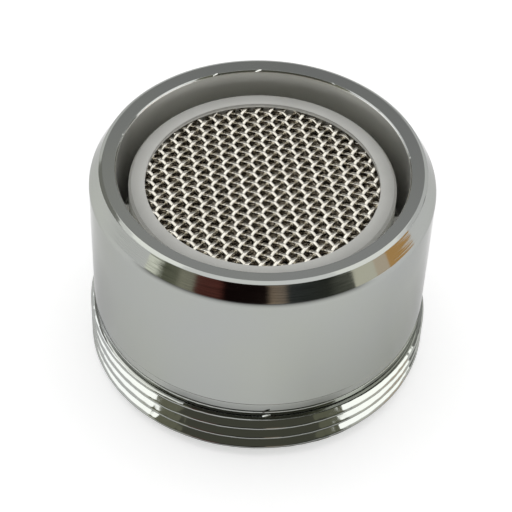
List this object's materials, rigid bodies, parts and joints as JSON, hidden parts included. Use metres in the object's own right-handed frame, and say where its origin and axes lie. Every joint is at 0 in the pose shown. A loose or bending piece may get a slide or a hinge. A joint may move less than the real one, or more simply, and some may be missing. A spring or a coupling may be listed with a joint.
{
  "type": "tap aerator",
  "caption": "Round chromed tap aerator with a male thread at the inlet, a chamfered rim and a woven outlet gauze in a plastic ring; mixes air into the water of a spout.",
  "frame": {"origin": "on the axis, at the sealing face: the underside of the washer at the inlet end", "axes": "+Z along the axis from inlet to outlet; -Y faces the viewer of the picture; X to the right"},
  "size_m": [0.0239, 0.0238, 0.0162],
  "materials": {
    "chrome_shell": "polished",
    "grey_plastic": "satin",
    "dark_plastic": "satin",
    "white_plastic": "satin",
    "gauze_wire": "satin",
    "black_rubber": "matte"
  },
  "bodies": {
    "root": {"housing": "chrome_shell", "cartridge_sleeve": "grey_plastic", "outlet_mesh": "gauze_wire", "inner_mesh": "gauze_wire", "mesh_retainer": "dark_plastic", "jet_breaker": "dark_plastic", "jet_plate": "dark_plastic", "strainer_mesh": "gauze_wire", "strainer_frame": "white_plastic", "sealing_washer": "black_rubber"}
  },
  "joints": []
}
